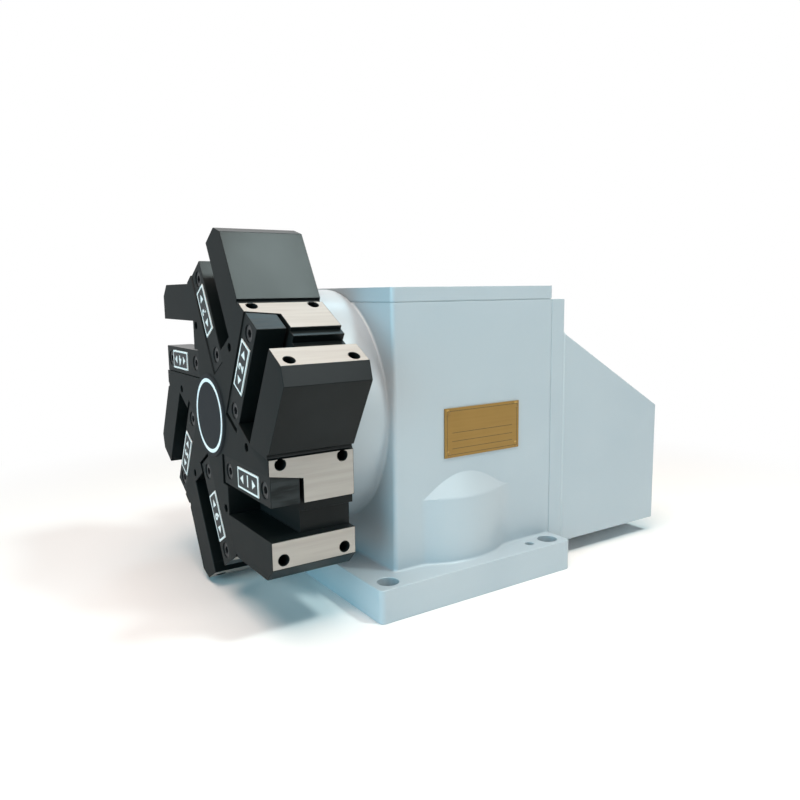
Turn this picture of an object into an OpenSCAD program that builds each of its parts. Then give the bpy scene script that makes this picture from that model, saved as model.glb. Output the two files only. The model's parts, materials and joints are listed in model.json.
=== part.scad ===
// Six-station lathe tool turret. Millimetres, +Z up, origin at the middle of the base's underside.
// The turret axis runs along X: the tool disc is at -X, the motor cover at +X.

/* [Base] */
// Length of the base flange along the turret axis
base_l = 212; // [190:1:260]
// Width of the base flange
base_w = 280; // [265:1:330]
// Thickness of the base flange
base_t = 28.5; // [20:0.5:36]
// Corner radius of the base flange
base_corner_r = 5; // [2:0.5:10]
// Radius of the clearance holes for the base bolts
base_hole_r = 9; // [6:0.5:10]
// Bolt hole centre to the end of the flange
base_hole_end = 16; // [12:0.5:20]
// Bolt hole centre to the side of the flange
base_hole_side = 15; // [11:0.5:16]
// Radius of the dowel holes in the base flange
dowel_r = 4; // [2.5:0.5:5]
// Dowel hole centre to the neighbouring bolt hole centre
dowel_step = 23; // [18:0.5:40]

/* [Housing] */
// Height of the turret axis above the base
axis_h = 160; // [159.5:0.5:165]
// Front end of the base to the front wall of the housing
house_set = 31.5; // [24:0.5:40]
// Base flange behind the rear wall of the housing
base_tail = 3; // [0:0.5:10]
// Width of the housing box
house_w = 226; // [222:1:236]
// Casting above the bore of the lock ring
roof_t = 6.15; // [5:0.05:12]
// Wall thickness of the casting
wall = 15; // [13:0.5:18]
// Corner radius of the upright edges
house_corner_r = 4; // [2:0.5:8]
// Height of the cavity floor above the base flange
floor_t = 16; // [10:1:24]
// Depth of the rail round the top opening
rail_t = 20; // [14:1:24]
// Thickness of the top cover
cover_t = 12.5; // [9:0.5:16]
// Radius of the round front spigot
spigot_r = 106; // [105:0.5:112]
// Length of the round front spigot
spigot_l = 42.5; // [40:0.5:50]
// Length of the front bearing wall behind the lock ring recess
bearing_l = 26; // [22:0.5:34]
// Front face of the housing to the back of the bearing wall
bearing_back = 34.5; // [30:0.5:40]
// Radius of the rounded side boss
boss_r = 80; // [70:1:100]
// How far the side boss stands out of the wall
boss_out = 13.5; // [8:0.5:18]
// Height of the side boss up to its sloped top
boss_h = 58; // [45:1:70]
// Height of the sloped top of the boss where it meets the wall
boss_slope_h = 19; // [12:1:26]
// Radius of the fillet between the boss and the wall, on the disc's side
boss_fillet_front = 12; // [6:1:20]
// Radius of the fillet between the boss and the wall, on the motor's side
boss_fillet_back = 40; // [20:1:50]
// Width of the seam groove at a cover's joint
seam_w = 0.8; // [0.4:0.1:1.2]
// Depth of the seam groove at a cover's joint
seam_d = 0.6; // [0.3:0.1:1]

/* [Rear] */
// Thickness of the rear plate
plate_t = 17.5; // [14:0.5:22]
// Length of the motor cover
hood_l = 140; // [132:1:160]
// Height of the underside of the motor cover
hood_z0 = 15.5; // [10:0.5:20]
// Rise of the cover's top edge above the turret axis, at the rear plate
hood_rise = 62.5; // [52:0.5:72]
// Drop of the cover's top edge below the turret axis, at its rear end
hood_drop = 20; // [4:0.5:24]
// Sheet thickness of the motor cover
hood_wall = 3; // [2:0.5:4]

/* [Nameplate] */
// Length of the nameplate
plate_name_l = 85; // [70:1:100]
// Height of the nameplate
plate_name_h = 43.5; // [36:0.5:50]
// Thickness of the nameplate
plate_name_t = 1.2; // [0.8:0.1:2]
// Middle of the nameplate ahead of the middle of the base
plate_name_x = 19.5; // [10:0.5:26]
// Middle of the nameplate above the base
plate_name_z = 141.5; // [136:0.5:150]
// Radius of the nameplate rivets
rivet_r = 1.6; // [1:0.1:2]

/* [Tool disc] */
// Thickness of the tool disc
disc_t = 71.5; // [68:0.5:80]
// Distance of the ground station faces from the axis
facet_n = 121; // [119.5:0.5:122]
// Offset of the tool slot's wedge side from the axis
slot_t0 = 54; // [53:0.5:55]
// Width of the tool slot, for a 25 mm shank
slot_w = 26; // [25.5:0.25:27]
// Depth of the tool slot from the disc's front
slot_d = 28; // [26:0.5:30]
// Inner end of the tool slot, from the axis
slot_in = 34; // [33:0.5:40]
// Width of the ground strip beyond the slot
strip_w = 22; // [20:0.5:22.5]
// Chamfer on the outer corner of each arm
arm_chamfer = 10.5; // [6:0.5:12]
// Depth of the rim groove behind each slot
rim_groove_d = 9; // [4:0.5:12]
// Depth of the ledge in the rim groove
ledge_d = 3; // [1:0.5:3.5]
// Width of the ledge in the rim groove
ledge_w = 7; // [3:0.5:12]
// Radius of the relief groove at the foot of each arm
relief_r = 2.2; // [1:0.1:2.6]
// Thread diameter of the station bolt holes
station_bolt_d = 8.5; // [6.8:0.1:9]
// Depth of the station bolt holes
station_bolt_depth = 20; // [14:1:24]
// Offset of the first row of station bolt holes from the axis
station_bolt_t = 21.5; // [21:0.25:22.5]
// Distance between the two rows of station bolt holes
station_bolt_pitch = 73.5; // [71:0.25:74]
// Front row of station bolt holes to the disc's front
station_bolt_set = 9.5; // [8:0.5:11]
// Distance between front and back station bolt holes
station_bolt_span = 52; // [48:0.5:54]
// Radius of the coolant hole beside each slot
coolant_r = 3.5; // [2.5:0.25:4]
// Depth of the coolant hole
coolant_d = 24; // [15:1:30]
// Coolant hole to the line of the slot's side
coolant_side = 0.5; // [0.2:0.1:2]

/* [Wedge clamps] */
// Offset of the wedge seat's wall at the disc's front
seat_t = 29.5; // [28.5:0.5:30.5]
// Slope of the wedge seat
seat_angle = 10; // [8:0.5:12]
// Inner end of the wedge seat, from the axis
seat_in = 24; // [23:0.5:30]
// Depth of the wedge
wedge_d = 24; // [20:0.5:25]
// Set-back of the wedge's front face behind the disc's front
wedge_set = 1; // [0.5:0.25:2]
// Gap between a wedge and the inner end of its seat
wedge_in = 2; // [1:0.5:4]
// Set-back of a wedge's outer end behind the station face
wedge_short = 0.5; // [0:0.1:2]
// Wedge screw heads below the wedge's front
wedge_head_set = 1; // [0.5:0.25:2]
// Shift of the wedge screws towards the seat's wall
wedge_screw_off = 2; // [0:0.5:3]
// Thread diameter of the wedge screws
wedge_screw_d = 8; // [6:1:8]
// Wedge screw to the end of the wedge
wedge_screw_end = 11; // [10:0.5:14]
// Length of the wedge screws below the head
wedge_screw_l = 30; // [26:1:34]
// Length of the station tag
tag_l = 42; // [34:1:44]
// Width of the station tag
tag_w = 17; // [14:0.5:18]
// Shift of the station tag towards the rim
tag_shift = 5.5; // [0:0.25:6]
// Thickness of the station tag
tag_t = 0.8; // [0.5:0.1:1.2]

/* [Hub and spindle] */
// Radius of the hub recess in the disc's front
hub_r = 33; // [30:0.5:33.5]
// Depth of the hub recess
hub_d = 12; // [10.5:0.5:14]
// Rim of the hub cap over the edge of its recess
cap_rim = 3; // [1.5:0.25:3.5]
// Thickness of the hub cap outside the disc
cap_t = 1.5; // [1:0.25:3]
// Length of the cap's plug inside the recess
cap_plug = 2.5; // [1.5:0.25:3]
// Radius of the spindle nose in the back of the disc
nose_r = 30; // [29:0.5:34]
// Length of the spindle nose
nose_l = 21.5; // [18:0.5:26]
// Radius of the spindle flange behind the disc
flange_r = 46; // [44:0.5:47]
// Thickness of the spindle flange
flange_t = 12.5; // [10:0.5:16]
// Radius of the spindle in the front bush
journal_r = 36; // [34:0.5:38]
// Radius of the spindle between bush and gear
shaft_r = 34; // [32.5:0.25:33.75]
// Radius of the spindle inside the gear
gear_seat_r = 30; // [27:0.5:31]
// Radius of the spindle in the rear bush
rear_journal_r = 24; // [20:0.5:26]
// Radius of the spindle's tail in the encoder disc
tail_r = 12; // [9:0.5:14]
// Wall thickness of the bushes
bush_wall = 7; // [5:0.5:8]
// Width of the lip seal behind the front bush
seal_w = 8; // [6:0.5:10]
// Thread diameter of the disc bolts
disc_bolt_d = 8; // [6:1:8]
// Circle radius of the disc bolts
disc_bolt_pcr = 21; // [19:0.5:22]

/* [Face-tooth coupling] */
// Number of coupling teeth, a multiple of the six stations
coupling_teeth = 24; // [12:12:24]
// Height of the coupling teeth
tooth_h = 4; // [3:0.25:5]
// Flank angle of the coupling teeth
tooth_flank = 20; // [15:1:25]
// Free height between tooth tips when released, and below them when locked
tooth_gap = 0.5; // [0.4:0.1:0.8]
// Side play of a locked tooth
tooth_play = 0.6; // [0.5:0.1:1]
// Inner radius of the disc's tooth ring
disc_ring_in = 48; // [47.5:0.25:49]
// Inner radius of the coupling teeth
teeth_in = 61; // [60:0.5:63]
// Outer radius of the coupling teeth
teeth_out = 88; // [86:0.5:89]
// Radius that parts the disc's teeth from the fixed teeth
teeth_mid = 74; // [73:0.5:76]
// Radius of the fixed ring's flange
fixed_flange_r = 102; // [101:0.5:103]
// Thickness of the fixed ring's flange
fixed_flange_t = 11.5; // [9:0.5:14]
// Set-back of the fixed ring behind the spigot's front
fixed_set = 2.5; // [1.5:0.25:4]
// Length of the fixed ring's nose between flange and teeth
fixed_nose = 4; // [2:0.5:6]
// Thread diameter of the ring screws
ring_screw_d = 5; // [4:1:5]
// Radius of the lock ring's guide pins
pin_r = 6; // [4:0.5:7]
// Depth of the guide pins inside the lock ring
pin_in = 20; // [14:0.5:22]
// Length of the guide pins behind the lock ring
pin_out = 20; // [14:0.5:24]

/* [Drive] */
// Gear module
gear_m = 2.5; // [2:0.25:2.5]
// Teeth of the spindle gear
gear_z = 44; // [40:1:46]
// Teeth of the motor pinion
pinion_z = 16; // [16:1:20]
// Face width of the gears
gear_w = 26; // [20:1:28]
// Backlash at the pitch line
backlash = 0.4; // [0.3:0.05:0.6]
// Spindle nut to the rear plate
nut_set = 2; // [1:0.5:4]
// Thickness of the spindle nut
nut_t = 9; // [7:0.5:10]
// Radius of the spindle nut
nut_r = 40; // [36:0.5:44]
// Width of the gear key
key_w = 8; // [6:0.5:10]
// Height of the gear key
key_h = 7; // [6:0.5:8]
// Radius of the motor body
motor_r = 44; // [38:0.5:46]
// Length of the motor body behind its flange
motor_l = 104; // [90:1:108]
// Half width of the motor's square flange
motor_flange = 46; // [44:0.5:48]
// Thickness of the motor's flange
motor_flange_t = 12; // [8:0.5:14]
// Radius of the motor's pilot in the rear plate
pilot_r = 25; // [24:0.5:28]
// Motor screw centre to the edge of the flange
motor_screw_edge = 10; // [8:0.5:12]
// Length of the motor's end bell
bell_h = 6; // [4:0.5:10]
// Step between the motor body and its end bell
bell_step = 2; // [1:0.5:4]
// Radius of the motor shaft
motor_shaft_r = 9; // [7:0.5:11]
// Motor shaft ahead of the pinion
shaft_out = 2; // [1:0.5:4]
// Spindle tail behind the encoder disc
tail_out = 2; // [1:0.5:4]
// Radius of the encoder disc
encoder_r = 26; // [20:0.5:27]
// Thickness of the encoder disc
encoder_t = 4; // [2:0.5:5]
// Rear plate to the encoder disc
encoder_set = 14; // [10:0.5:16]
// Radius of the windows in the encoder disc
window_r = 2; // [1.5:0.25:2.5]
// Sensor beyond the rim of the encoder disc
sensor_out = 14; // [10:0.5:18]
// Sensor over the rim of the encoder disc
sensor_in = 6; // [4:0.5:8]
// Width of the sensor
sensor_w = 16; // [12:1:20]
// Sensor behind the encoder disc
sensor_back = 8; // [5:0.5:10]
// Gap between the sensor and what turns in it
sensor_gap = 2; // [1:0.25:3]

/* [Fasteners and clearances] */
// Thread diameter of the cover screws
cover_screw_d = 6; // [4:1:6]
// Thread diameter of the motor screws
motor_screw_d = 8; // [6:1:8]
// Radius of the posts that carry the motor cover
post_r = 6; // [5:0.5:7]
// Radius of the cable gland's body
gland_r = 10; // [7:0.5:12]
// Height of the cable gland's two nuts
gland_nut_h = 6; // [4:0.5:8]
// Metal left under a blind hole
hole_floor = 2; // [1.5:0.25:3]
// Radial running clearance of shafts in bushes
run_gap = 0.05; // [0.02:0.01:0.08]
// Radial clearance of a fitted or pressed piece
fit_gap = 0.05; // [0.02:0.01:0.08]
// Radial clearance of a sliding ring or moving screw
slide_gap = 0.35; // [0.3:0.05:0.5]
// Axial gap between the disc and the spigot
disc_gap = 0.4; // [0.3:0.05:0.8]
// Clearance of a wedge to its seat
wedge_gap = 0.2; // [0.1:0.05:0.4]

/* [Hidden] */
$fn = 64;
stations = 6;
step = 360 / stations;
over = 1;
pressure_angle = 20;
head_ratio = 0.8;
socket_ratio = 0.87;
socket_fn = 6;
screw_gap = 0.3;
thread_share = 1.6;
ring_thread = 2.5;
pin_count = 3;
notch_count = 4;
dedendum = 1.25;
flank_steps = 3;
gland_nut_ratio = 1.35;
gland_bore_ratio = 0.55;
gland_out_ratio = 1.2;
rivet_edge = 2.2;
rivet_shank = 3;
rivet_head = 1.7;
boss_run = 1.5;

// Sizes that follow from others
house_l = base_l - house_set - base_tail;
house_h = axis_h + teeth_out + slide_gap + roof_t;
hood_z_front = axis_h + hood_rise;
hood_z_rear = axis_h - hood_drop;

// Places along the turret axis
house_x0 = -base_l / 2 + house_set;
house_x1 = house_x0 + house_l;
spigot_x = house_x0 - spigot_l;
disc_back = spigot_x - disc_gap;
disc_front = disc_back - disc_t;
bearing_x1 = house_x0 + bearing_back;
bearing_x0 = bearing_x1 - bearing_l;
plate_x1 = house_x1 + plate_t;
hood_x1 = plate_x1 + hood_l;
fixed_x0 = spigot_x + fixed_set;
fixed_x1 = fixed_x0 + fixed_flange_t;
root_x = fixed_x1 + fixed_nose;
lock_root_x = root_x + 2 * tooth_h + tooth_gap;
lock_x1 = bearing_x0 - tooth_gap;
nut_x1 = house_x1 - nut_set;
nut_x0 = nut_x1 - nut_t;
gear_x0 = nut_x0 - gear_w;
encoder_x0 = plate_x1 + encoder_set;
tail_x1 = encoder_x0 + encoder_t + tail_out;

// The arms of the disc, in each station's own frame: n outward, t along the station's face
slot_t1 = slot_t0 + slot_w;
strip_t1 = slot_t1 + strip_w;
flank_t = strip_t1 + arm_chamfer;
foot_n = (facet_n - flank_t * sin(step)) / cos(step);
foot_t = flank_t * cos(step) - foot_n * sin(step);
seat_floor_t = seat_t + slot_d * tan(seat_angle);
wedge_n0 = seat_in + wedge_in;
wedge_n1 = facet_n - wedge_short;
wedge_screw_t = (seat_floor_t + slot_t0) / 2 - wedge_screw_off;
wedge_front = disc_t - wedge_set;
wedge_head_h = wedge_screw_d;
wedge_seat_z = wedge_front - wedge_head_h - wedge_head_set;
coolant_n = slot_in - 2 * coolant_r;
coolant_t = slot_t1 - coolant_r - coolant_side;

// Gears
gear_pitch_r = gear_m * gear_z / 2;
pinion_pitch_r = gear_m * pinion_z / 2;
motor_z = axis_h - gear_pitch_r - pinion_pitch_r;

// Coupling teeth
tooth_lean = tooth_h * tan(tooth_flank);
tooth_pitch_in = 2 * PI * teeth_in / coupling_teeth;
tooth_base = (tooth_pitch_in + 2 * tooth_lean * (1 + tooth_gap / tooth_h) - tooth_play) / 2;
tooth_tip = tooth_base - 2 * tooth_lean;
disc_ring_screw_r = (disc_ring_in + teeth_in) / 2;
fixed_screw_r = (teeth_out + slide_gap + fixed_flange_r) / 2;
pin_pcr = (teeth_in + teeth_out) / 2;

// Screw places
cover_screw_x = [house_x0 + wall, (house_x0 + house_x1) / 2, house_x1 - rail_t / 2];
cover_screw_y = house_w / 2 - wall / 2;
plate_screw_y = house_w / 2 - wall / 2;
plate_screw_z = [base_t + floor_t, (base_t + house_h) / 2, house_h - rail_t];
post_y = house_w / 2 - hood_wall - 4 * post_r;
post_z = [base_t + hood_wall + 1.5 * post_r, hood_z_rear - hood_wall - 2.5 * post_r];
motor_screw_at = motor_flange - motor_screw_edge;
hood_screw_d = cover_screw_d;
base_hole_x = base_l / 2 - base_hole_end;
base_hole_y = base_w / 2 - base_hole_side;

// Frames

// Local z runs along +X from x, on the turret axis; local x points down
module on_axis(x, z = axis_h) {
    translate([x, 0, z]) rotate([0, 90, 0]) children();
}

// Local x is the station's outward normal, local -y runs along its face, local z is the disc's depth
module at_station(k) {
    translate([disc_back, 0, axis_h]) rotate([90, 0, -90]) rotate([0, 0, step * k]) children();
}

module around(count, r, phase = 0) {
    for (i = [0 : count - 1]) rotate([0, 0, phase + i * 360 / count]) translate([r, 0, 0]) children();
}

// Local z points out of the housing's near side, local x along +X, local y along +Z
module on_near_side(x, z) {
    translate([x, -house_w / 2, z]) rotate([90, 0, 0]) children();
}

// Shared shapes

// With square_end, only the corners at x0 are rounded
module rounded_plate(x0, x1, y_half, z0, z1, r, square_end = false) {
    round_x = square_end ? [x0 + r] : [x0 + r, x1 - r];
    wide_x1 = square_end ? x1 : x1 - r;
    translate([0, 0, z0]) linear_extrude(z1 - z0) {
        translate([x0 + r, -y_half]) square([wide_x1 - x0 - r, 2 * y_half]);
        translate([x0, -y_half + r]) square([x1 - x0, 2 * (y_half - r)]);
        for (x = round_x) for (s = [-1, 1]) translate([x, s * (y_half - r)]) circle(r);
    }
}

// The plan of the housing box, set in by the given depth
module house_block(z0, z1, inset = 0) {
    rounded_plate(house_x0 + inset, house_x1 - inset, house_w / 2 - inset, z0, z1, house_corner_r, true);
}

module axial_ring(x0, x1, r_out, r_in, z = axis_h) {
    on_axis(x0, z) difference() {
        cylinder(r = r_out, h = x1 - x0);
        translate([0, 0, -over]) cylinder(r = r_in, h = x1 - x0 + 2 * over);
    }
}

// Head above z = 0, shank below
module cap_screw(d, len) {
    difference() {
        union() {
            translate([0, 0, -len]) cylinder(d = d, h = len);
            cylinder(r = head_ratio * d, h = d);
        }
        translate([0, 0, d / 2]) cylinder(d = socket_ratio * d, h = d, $fn = socket_fn);
    }
}

// Clearance hole below z = 0, room for the head above
module screw_hole(d, len, head_room) {
    translate([0, 0, -len]) cylinder(r = d / 2 + screw_gap, h = len + over);
    cylinder(r = head_ratio * d + screw_gap, h = head_room);
}

module tapped_hole(d, depth, gap = fit_gap) {
    translate([0, 0, -depth]) cylinder(r = d / 2 + gap, h = depth + over);
}

// A straight radial face tooth standing on z = 0, from r0 to r1
module face_tooth(r0, r1) {
    translate([r0, 0, 0]) rotate([90, 0, 90]) linear_extrude(r1 - r0)
        polygon([[-tooth_base / 2, -over], [tooth_base / 2, -over], [tooth_base / 2, 0],
            [tooth_tip / 2, tooth_h], [-tooth_tip / 2, tooth_h], [-tooth_base / 2, 0]]);
}

// Involute gear outline with a tooth on local x
function involute_deg(base_r, r) = tan(acos(base_r / r)) * 180 / PI - acos(base_r / r);
function tooth_half_deg(pitch_r, z, r) = let (base_r = pitch_r * cos(pressure_angle))
    90 / z - backlash / 4 / pitch_r * 180 / PI
    + involute_deg(base_r, pitch_r) - involute_deg(base_r, max(r, base_r));
function polar(r, a) = [r * cos(a), r * sin(a)];
function flank_radii(pitch_r) = let (
    base_r = pitch_r * cos(pressure_angle),
    root_r = pitch_r - dedendum * gear_m,
    tip_r = pitch_r + gear_m,
    start_r = max(base_r, root_r))
    concat(root_r < base_r ? [root_r] : [],
        [for (i = [0 : flank_steps]) start_r + (tip_r - start_r) * i / flank_steps]);

module gear_outline(pitch_r, z) {
    radii = flank_radii(pitch_r);
    last = len(radii) - 1;
    polygon([for (k = [0 : z - 1]) each concat(
        [for (i = [0 : last]) polar(radii[i], k * 360 / z - tooth_half_deg(pitch_r, z, radii[i]))],
        [for (i = [last : -1 : 0]) polar(radii[i], k * 360 / z + tooth_half_deg(pitch_r, z, radii[i]))])]);
}

// Housing

module side_boss() {
    boss_y = -house_w / 2 - boss_out + boss_r;
    intersection() {
        translate([0, boss_y, base_t - over]) union() {
            cylinder(r = boss_r, h = boss_h + over);
            translate([0, 0, boss_h + over])
                cylinder(r1 = boss_r, r2 = boss_r - boss_run * boss_out, h = boss_run * boss_slope_h);
        }
        translate([-boss_r, -house_w / 2 - boss_out - over, 0])
            cube([2 * boss_r, boss_out + over + wall / 2, house_h]);
    }
}

// Fills the corner between boss and wall with a hollow round, on the side s of the boss
module boss_fillet(r, s) {
    mid_x = sqrt(boss_out * (2 * boss_r - boss_out + 2 * r));
    foot_x = mid_x * boss_r / (boss_r + r);
    difference() {
        translate([s > 0 ? foot_x : -mid_x, -house_w / 2 - boss_out, base_t - over])
            cube([mid_x - foot_x, boss_out + wall / 2, boss_h + boss_slope_h + over]);
        translate([s * mid_x, -house_w / 2 - r, base_t - 2 * over]) union() {
            cylinder(r = r, h = boss_h + 2 * over);
            translate([0, 0, boss_h + 2 * over])
                cylinder(r1 = r, r2 = r + boss_run * boss_out, h = boss_run * boss_slope_h);
        }
    }
}

module base_holes() {
    for (sx = [-1, 1]) for (sy = [-1, 1]) translate([sx * base_hole_x, sy * base_hole_y, -over])
        cylinder(r = base_hole_r, h = base_t + 2 * over);
    for (s = [-1, 1]) translate([-s * (base_hole_x - dowel_step), s * base_hole_y, -over])
        cylinder(r = dowel_r, h = base_t + 2 * over);
}

module housing_cavity() {
    inner_y = house_w / 2 - wall;
    translate([bearing_x1, -inner_y, base_t + floor_t])
        cube([house_x1 - bearing_x1 + over, 2 * inner_y, house_h - rail_t - base_t - floor_t]);
    translate([bearing_x1, -inner_y + rail_t / 2, house_h - rail_t - over])
        cube([house_l - bearing_back - rail_t, 2 * inner_y - rail_t, rail_t + 2 * over]);
}

module spigot_bores() {
    on_axis(spigot_x - over) cylinder(r = fixed_flange_r + fit_gap, h = fixed_x1 - spigot_x + over);
    on_axis(fixed_x1 - over) cylinder(r = teeth_out + slide_gap, h = bearing_x0 - fixed_x1 + over);
    on_axis(bearing_x0 - over) cylinder(r = journal_r + bush_wall + fit_gap, h = bearing_l + 2 * over);
    on_axis(bearing_x0 - over) around(pin_count, pin_pcr)
        cylinder(r = pin_r + run_gap, h = bearing_l + 2 * over);
    on_axis(fixed_x1) around(stations, fixed_screw_r)
        cylinder(r = ring_screw_d / 2 + fit_gap, h = ring_thread * ring_screw_d);
}

module housing_casting() {
    color([0.66, 0.76, 0.82]) difference() {
        union() {
            rounded_plate(-base_l / 2, base_l / 2, base_w / 2, 0, base_t, base_corner_r);
            house_block(base_t - over, house_h);
            on_axis(spigot_x) cylinder(r = spigot_r, h = spigot_l + over, $fn = 96);
            side_boss();
            boss_fillet(boss_fillet_front, -1);
            boss_fillet(boss_fillet_back, 1);
        }
        housing_cavity();
        spigot_bores();
        base_holes();
        translate([house_x0, -house_w / 2, house_h]) cube([house_l, house_w, cover_t]);
        top_cover_places() tapped_hole(cover_screw_d, thread_share * cover_screw_d + over);
        rear_plate_places(house_x1) tapped_hole(cover_screw_d, thread_share * cover_screw_d + over);
        rivet_places() tapped_hole(2 * rivet_r, (rivet_shank + over) * rivet_r);
    }
}

// Local z points up, on the casting's top face
module top_cover_places() {
    for (x = cover_screw_x) for (s = [-1, 1]) translate([x, s * cover_screw_y, house_h]) children();
}

module top_cover() {
    color([0.7, 0.8, 0.86]) difference() {
        union() {
            house_block(house_h, house_h + 2 * seam_w, seam_d);
            house_block(house_h + seam_w, house_h + cover_t);
        }
        translate([0, 0, cover_t - cover_screw_d]) top_cover_places()
            screw_hole(cover_screw_d, cover_t, cover_t);
    }
}

module top_cover_screws() {
    color([0.25, 0.26, 0.27]) translate([0, 0, cover_t - cover_screw_d]) top_cover_places()
        cap_screw(cover_screw_d, cover_t - cover_screw_d + thread_share * cover_screw_d);
}

// Local z points along +X, on the plane x
module rear_plate_places(x) {
    for (z = plate_screw_z) for (s = [-1, 1]) translate([x, s * plate_screw_y, z])
        rotate([0, 90, 0]) children();
}

module motor_screw_places(x) {
    on_axis(x, motor_z) for (sx = [-1, 1]) for (sy = [-1, 1])
        translate([sx * motor_screw_at, sy * motor_screw_at, 0]) children();
}

module post_places(x) {
    for (z = post_z) for (s = [-1, 1]) translate([x, s * post_y, z]) rotate([0, 90, 0]) children();
}

// Its skirt hangs behind the end of the base flange
module rear_plate_body() {
    skirt_x = base_l / 2 + fit_gap;
    seam_y = house_w / 2 - seam_d;
    translate([house_x1, -seam_y, base_t]) cube([plate_t, 2 * seam_y, house_h - base_t - seam_d]);
    translate([house_x1 + seam_w, -house_w / 2, base_t])
        cube([plate_t - 2 * seam_w, house_w, house_h - base_t]);
    translate([skirt_x, -house_w / 2, hood_z0])
        cube([plate_x1 - seam_w - skirt_x, house_w, base_t - hood_z0 + over]);
}

module rear_plate() {
    color([0.66, 0.76, 0.82]) difference() {
        rear_plate_body();
        on_axis(house_x1 - over) cylinder(r = rear_journal_r + bush_wall + fit_gap, h = plate_t + 2 * over);
        on_axis(house_x1 - over, motor_z) cylinder(r = pilot_r + fit_gap, h = plate_t + 2 * over);
        rear_plate_places(plate_x1 - cover_screw_d) screw_hole(cover_screw_d, plate_t, plate_t);
        motor_screw_places(plate_x1) tapped_hole(motor_screw_d, plate_t - hole_floor);
    }
}

module rear_plate_screws() {
    color([0.25, 0.26, 0.27]) rear_plate_places(plate_x1 - cover_screw_d)
        cap_screw(cover_screw_d, plate_t - cover_screw_d + thread_share * cover_screw_d);
}

// Side outline of the motor cover, set in by the given thickness
module hood_outline(inset) {
    slope = (hood_z_front - hood_z_rear) / hood_l;
    drop = inset * sqrt(1 + slope * slope);
    polygon([[plate_x1 + inset, hood_z0 + inset], [hood_x1 - inset, hood_z0 + inset],
        [hood_x1 - inset, hood_z_rear + inset * slope - drop],
        [plate_x1 + inset, hood_z_front - inset * slope - drop]]);
}

module hood_solid(inset) {
    y_half = house_w / 2 - inset;
    translate([0, y_half, 0]) rotate([90, 0, 0]) linear_extrude(2 * y_half) hood_outline(inset);
}

module motor_cover() {
    mouth_z0 = base_t + hood_wall;
    mouth_y = house_w / 2 - hood_wall;
    color([0.62, 0.74, 0.8]) difference() {
        hood_solid(0);
        hood_solid(hood_wall);
        translate([plate_x1 - over, -mouth_y, mouth_z0])
            cube([hood_wall + 2 * over, 2 * mouth_y, hood_z_front - 2 * hood_wall - mouth_z0]);
        post_places(hood_x1 - hood_wall) screw_hole(hood_screw_d, over, hood_wall + over);
        gland_place() translate([0, 0, -hood_wall - over])
            cylinder(r = gland_r + fit_gap, h = hood_wall + 2 * over);
    }
}

module cover_posts() {
    color([0.6, 0.6, 0.58]) post_places(plate_x1) difference() {
        cylinder(r = post_r, h = hood_l - hood_wall);
        translate([0, 0, hood_l - hood_wall]) tapped_hole(hood_screw_d, ring_thread * hood_screw_d);
    }
}

module motor_cover_screws() {
    color([0.25, 0.26, 0.27]) post_places(hood_x1 - hood_wall) intersection() {
        cap_screw(hood_screw_d, 2 * hood_screw_d);
        translate([0, 0, -3 * hood_screw_d]) cylinder(r = hood_screw_d, h = 3 * hood_screw_d + hood_wall);
    }
}

// Local z points out of the cover's far side
module gland_place() {
    translate([plate_x1 + hood_l / 2, house_w / 2, hood_z0 + hood_wall + 3 * gland_r])
        rotate([-90, 0, 0]) children();
}

module cable_gland() {
    color([0.12, 0.12, 0.13]) gland_place() difference() {
        union() {
            translate([0, 0, -hood_wall - gland_r]) cylinder(r = gland_r, h = hood_wall + gland_r);
            cylinder(r = gland_nut_ratio * gland_r, h = gland_nut_h, $fn = socket_fn);
            cylinder(r = gland_r, h = gland_out_ratio * gland_r);
            translate([0, 0, -hood_wall - gland_nut_h])
                cylinder(r = gland_nut_ratio * gland_r, h = gland_nut_h, $fn = socket_fn);
        }
        translate([0, 0, -hood_wall - gland_r - over])
            cylinder(r = gland_bore_ratio * gland_r, h = hood_wall + 3 * gland_r);
    }
}

module rivet_places() {
    inset = rivet_edge * rivet_r;
    for (sx = [-1, 1]) for (sz = [-1, 1])
        on_near_side(plate_name_x + sx * (plate_name_l / 2 - inset),
            plate_name_z + sz * (plate_name_h / 2 - inset)) children();
}

module nameplate() {
    color([0.69, 0.55, 0.27]) difference() {
        on_near_side(plate_name_x - plate_name_l / 2, plate_name_z - plate_name_h / 2)
            cube([plate_name_l, plate_name_h, plate_name_t]);
        rivet_places() translate([0, 0, -over]) cylinder(r = rivet_r + fit_gap, h = plate_name_t + 2 * over);
    }
}

module nameplate_rivets() {
    color([0.75, 0.62, 0.35]) rivet_places() {
        translate([0, 0, -rivet_shank * rivet_r])
            cylinder(r = rivet_r, h = rivet_shank * rivet_r + plate_name_t);
        translate([0, 0, plate_name_t]) cylinder(r1 = rivet_head * rivet_r, r2 = rivet_r, h = rivet_r / 2);
    }
}

module fixed_tooth_ring() {
    color([0.55, 0.56, 0.57]) difference() {
        union() {
            axial_ring(fixed_x0, fixed_x1, fixed_flange_r, teeth_mid);
            axial_ring(fixed_x1 - over, root_x, teeth_out, teeth_mid);
            on_axis(root_x) around(coupling_teeth, 0) face_tooth(teeth_mid + over, teeth_out - over);
        }
        on_axis(fixed_x0 + ring_screw_d) mirror([0, 0, 1]) around(stations, fixed_screw_r)
            screw_hole(ring_screw_d, fixed_flange_t + over, 2 * ring_screw_d);
    }
}

module fixed_ring_screws() {
    color([0.25, 0.26, 0.27]) on_axis(fixed_x0 + ring_screw_d) mirror([0, 0, 1])
        around(stations, fixed_screw_r)
        cap_screw(ring_screw_d, fixed_flange_t - ring_screw_d + 2 * ring_screw_d);
}

module front_bush() {
    color([0.72, 0.55, 0.3])
        axial_ring(bearing_x0, bearing_x1 - seal_w, journal_r + bush_wall, journal_r + run_gap);
}

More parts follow.
